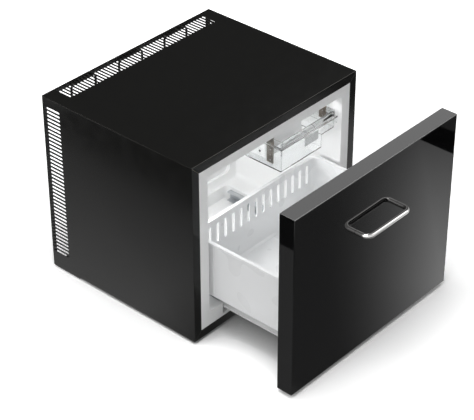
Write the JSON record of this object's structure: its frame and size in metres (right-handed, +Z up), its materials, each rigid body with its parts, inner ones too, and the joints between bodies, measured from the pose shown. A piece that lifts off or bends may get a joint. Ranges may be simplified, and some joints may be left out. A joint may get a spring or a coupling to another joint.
{
  "type": "hotel minibar cabinet",
  "caption": "Low black hotel minibar cabinet with an insulated pull-out drawer on roller runners, a white lined cold box, a chrome pull, and a vented rear bay with a condenser.",
  "frame": {"origin": "bottom centre of the bounding box, on the floor under the feet, with the drawer part way out as in the picture", "axes": "+X to the right of someone who faces the drawer, +Y to the back of the cabinet, +Z up"},
  "size_m": [0.4926, 0.6891, 0.415],
  "materials": {
    "black_steel": "satin black powder coat on sheet steel",
    "galvanised": "dull galvanised sheet",
    "foam": "cut polyurethane foam",
    "white_plastic": "fine-grained white moulded plastic",
    "basket_plastic": "semi-gloss white moulded plastic",
    "bare_aluminium": "milled",
    "module_ceramic": "unglazed white ceramic",
    "black_plastic": "fine-grained black plastic",
    "clear_plastic": "clear moulded plastic",
    "bracket_metal": "bronze-toned plated strip",
    "lens_plastic": "grey translucent plastic",
    "gloss_black": "high-gloss black",
    "gasket_rubber": "matte soft rubber",
    "bright_chrome": "polished chrome plate",
    "zinc_steel": "bright zinc plate",
    "white_steel": "white epoxy coat",
    "nylon": "natural nylon"
  },
  "bodies": {
    "cabinet": {"top_panel": "black_steel", "left_panel": "black_steel", "right_panel": "black_steel", "base_pan": "black_steel", "base_screw_left_front": "black_steel", "base_screw_left_rear": "black_steel", "base_screw_right_front": "black_steel", "base_screw_right_rear": "black_steel", "foot_front_left": "black_plastic", "foot_front_right": "black_plastic", "foot_rear_left": "black_plastic", "foot_rear_right": "black_plastic", "inner_liner": "white_plastic", "insulation_foam": "foam", "back_sheet": "galvanised", "cold_plate": "bare_aluminium", "cold_block": "bare_aluminium", "peltier_module": "module_ceramic", "hot_block": "bare_aluminium", "condenser_coil": "black_steel", "condenser_bar_lower": "zinc_steel", "condenser_bar_upper": "zinc_steel", "control_box": "black_plastic", "cord_gland": "black_plastic", "light_cover": "clear_plastic", "light_bracket_left": "bracket_metal", "light_bracket_right": "bracket_metal", "light_unit": "white_plastic", "sensor_button": "black_plastic", "light_lens": "lens_plastic", "cabinet_rail_left": "zinc_steel", "cabinet_rail_right": "zinc_steel", "front_roller_pin_left": "zinc_steel", "front_roller_pin_right": "zinc_steel"},
    "drawer": {"front_panel": "gloss_black", "front_insulation": "foam", "front_inner_panel": "white_plastic", "front_gasket": "gasket_rubber", "drawer_handle": "bright_chrome", "handle_screw_left": "zinc_steel", "handle_screw_right": "zinc_steel", "drawer_basket": "basket_plastic", "basket_screw_lower_left": "zinc_steel", "basket_screw_upper_left": "zinc_steel", "basket_screw_lower_right": "zinc_steel", "basket_screw_upper_right": "zinc_steel", "drawer_rail_left": "white_steel", "drawer_rail_right": "white_steel", "rear_roller_pin_left": "zinc_steel", "rear_roller_pin_right": "zinc_steel"},
    "left_front_wheel": {"front_roller_left": "nylon"},
    "right_front_wheel": {"front_roller_right": "nylon"},
    "left_rear_wheel": {"rear_roller_left": "nylon"},
    "right_rear_wheel": {"rear_roller_right": "nylon"}
  },
  "joints": [
    {"name": "drawer_slide", "type": "slide", "parent": "cabinet", "child": "drawer", "axis": [0, -1, 0], "range_m": [-0.205, 0.005]},
    {"name": "left_front_roller_turn", "type": "hinge", "parent": "cabinet", "child": "left_front_wheel", "pos_m": [-0.154, -0.03495, 0.0377], "axis": [1, 0, 0], "continuous": true},
    {"name": "right_front_roller_turn", "type": "hinge", "parent": "cabinet", "child": "right_front_wheel", "pos_m": [0.154, -0.03495, 0.0377], "axis": [1, 0, 0], "continuous": true},
    {"name": "left_rear_roller_turn", "type": "hinge", "parent": "drawer", "child": "left_rear_wheel", "pos_m": [-0.154, -0.01295, 0.0368], "axis": [1, 0, 0], "continuous": true},
    {"name": "right_rear_roller_turn", "type": "hinge", "parent": "drawer", "child": "right_rear_wheel", "pos_m": [0.154, -0.01295, 0.0368], "axis": [1, 0, 0], "continuous": true}
  ],
  "couplings": [
    {"joint": "left_front_roller_turn", "follows": "drawer_slide", "rad_per_m": 125},
    {"joint": "right_front_roller_turn", "follows": "drawer_slide", "rad_per_m": 125},
    {"joint": "left_rear_roller_turn", "follows": "drawer_slide", "rad_per_m": 125},
    {"joint": "right_rear_roller_turn", "follows": "drawer_slide", "rad_per_m": 125}
  ]
}
